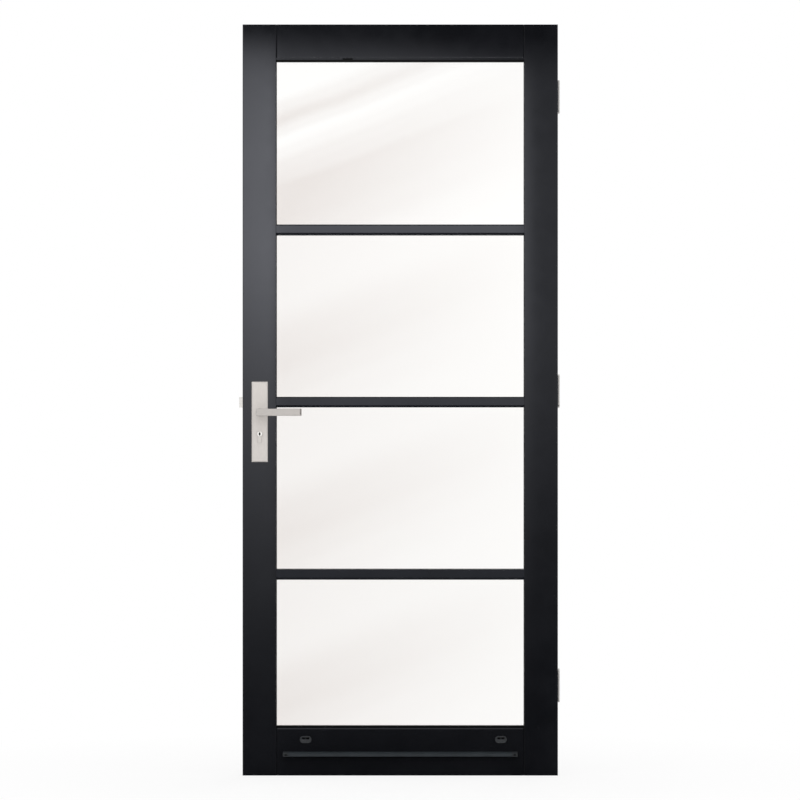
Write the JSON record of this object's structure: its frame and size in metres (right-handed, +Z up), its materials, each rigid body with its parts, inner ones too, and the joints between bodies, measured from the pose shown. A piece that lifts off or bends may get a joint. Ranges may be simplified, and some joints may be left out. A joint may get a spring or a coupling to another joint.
{
  "type": "glazed balcony door leaf",
  "caption": "Tall glazed door leaf in black satin paint with horizontal glazing bars, lever handles on long plates, cylinder lock, drip rail, drain caps and butt hinges to swing inwards.",
  "frame": {"origin": "middle of the leaf's lower edge, half way through its thickness", "axes": "+Z up, -Y towards the outside face, +X towards the hinges"},
  "size_m": [0.9065, 0.172, 2.115],
  "materials": {
    "painted_wood": "satin",
    "painted_bar": "satin",
    "dowel_wood": "matte",
    "glass": "polished",
    "dark_aluminium": "satin",
    "seal_rubber": "matte",
    "plain_plastic": "matte",
    "drip_aluminium": "satin",
    "grey_plastic": "satin",
    "brass": "satin",
    "zinc_steel": "satin",
    "steel": "satin"
  },
  "bodies": {
    "jamb_plates": {"hinge_jamb_plate_bottom": "steel", "hinge_jamb_plate_middle": "steel", "hinge_jamb_plate_top": "steel", "hinge_pins": "steel", "hinge_bearings": "steel"},
    "leaf": {"lock_stile": "painted_wood", "hinge_stile": "painted_wood", "top_rail": "painted_wood", "bottom_rail": "painted_wood", "rail_dowels": "dowel_wood", "outer_pane": "glass", "inner_pane": "glass", "glass_spacer": "dark_aluminium", "outer_bar_upper": "painted_bar", "outer_bar_middle": "painted_bar", "outer_bar_lower": "painted_bar", "inner_bar_upper": "painted_bar", "inner_bar_middle": "painted_bar", "inner_bar_lower": "painted_bar", "cavity_bars": "dark_aluminium", "bead_top": "painted_wood", "bead_bottom": "painted_wood", "bead_left": "painted_wood", "bead_right": "painted_wood", "outer_seal": "seal_rubber", "inner_seal": "seal_rubber", "setting_blocks": "plain_plastic", "top_vent_strip": "painted_wood", "drip_rail": "drip_aluminium", "drip_cap_left": "grey_plastic", "drip_cap_right": "grey_plastic", "drip_screws": "zinc_steel", "drain_cap_left": "grey_plastic", "drain_cap_right": "grey_plastic", "hinge_door_plate_bottom": "steel", "hinge_door_plate_middle": "steel", "hinge_door_plate_top": "steel", "hinge_screws": "steel", "outer_backplate": "steel", "inner_backplate": "steel", "backplate_bolts": "steel", "lever_bushes": "plain_plastic", "lock_case": "zinc_steel", "lock_cover": "zinc_steel", "lock_face_plate": "steel", "face_plate_screws": "steel", "cylinder_body": "steel", "cylinder_screw": "steel", "latch_spring": "zinc_steel"},
    "levers": {"outer_lever": "steel", "inner_lever": "steel", "spindle": "steel", "follower": "brass", "lever_grub_screws": "steel"},
    "latch": {"latch_bolt": "steel"},
    "bolt": {"dead_bolt": "steel"},
    "cylinder_turn": {"outer_key_plug": "brass", "cylinder_cam": "brass", "inner_thumb_turn": "steel"}
  },
  "joints": [
    {"name": "leaf_swing", "type": "hinge", "parent": "jamb_plates", "child": "leaf", "pos_m": [0.445, 0.034, 1.0825], "axis": [0, 0, -1], "range_deg": [0, 170]},
    {"name": "lever_turn", "type": "hinge", "parent": "leaf", "child": "levers", "pos_m": [-0.3955, 0, 1.023], "axis": [0, 1, 0], "range_deg": [0, 36], "stiffness_Nm_per_rad": 1.5, "springref_deg": -22.92},
    {"name": "latch_slide", "type": "slide", "parent": "leaf", "child": "latch", "axis": [1, 0, 0], "range_m": [0, 0.0114], "deforming": ["latch_spring"]},
    {"name": "key_turn", "type": "hinge", "parent": "leaf", "child": "cylinder_turn", "pos_m": [-0.3955, 0, 0.962], "axis": [0, -1, 0], "range_deg": [0, 360]},
    {"name": "bolt_slide", "type": "slide", "parent": "leaf", "child": "bolt", "axis": [-1, 0, 0], "range_m": [0, 0.02]}
  ],
  "couplings": [
    {"joint": "latch_slide", "follows": "lever_turn", "m_per_rad": 0.018},
    {"joint": "bolt_slide", "follows": "key_turn", "m_per_rad": 0.00318}
  ]
}
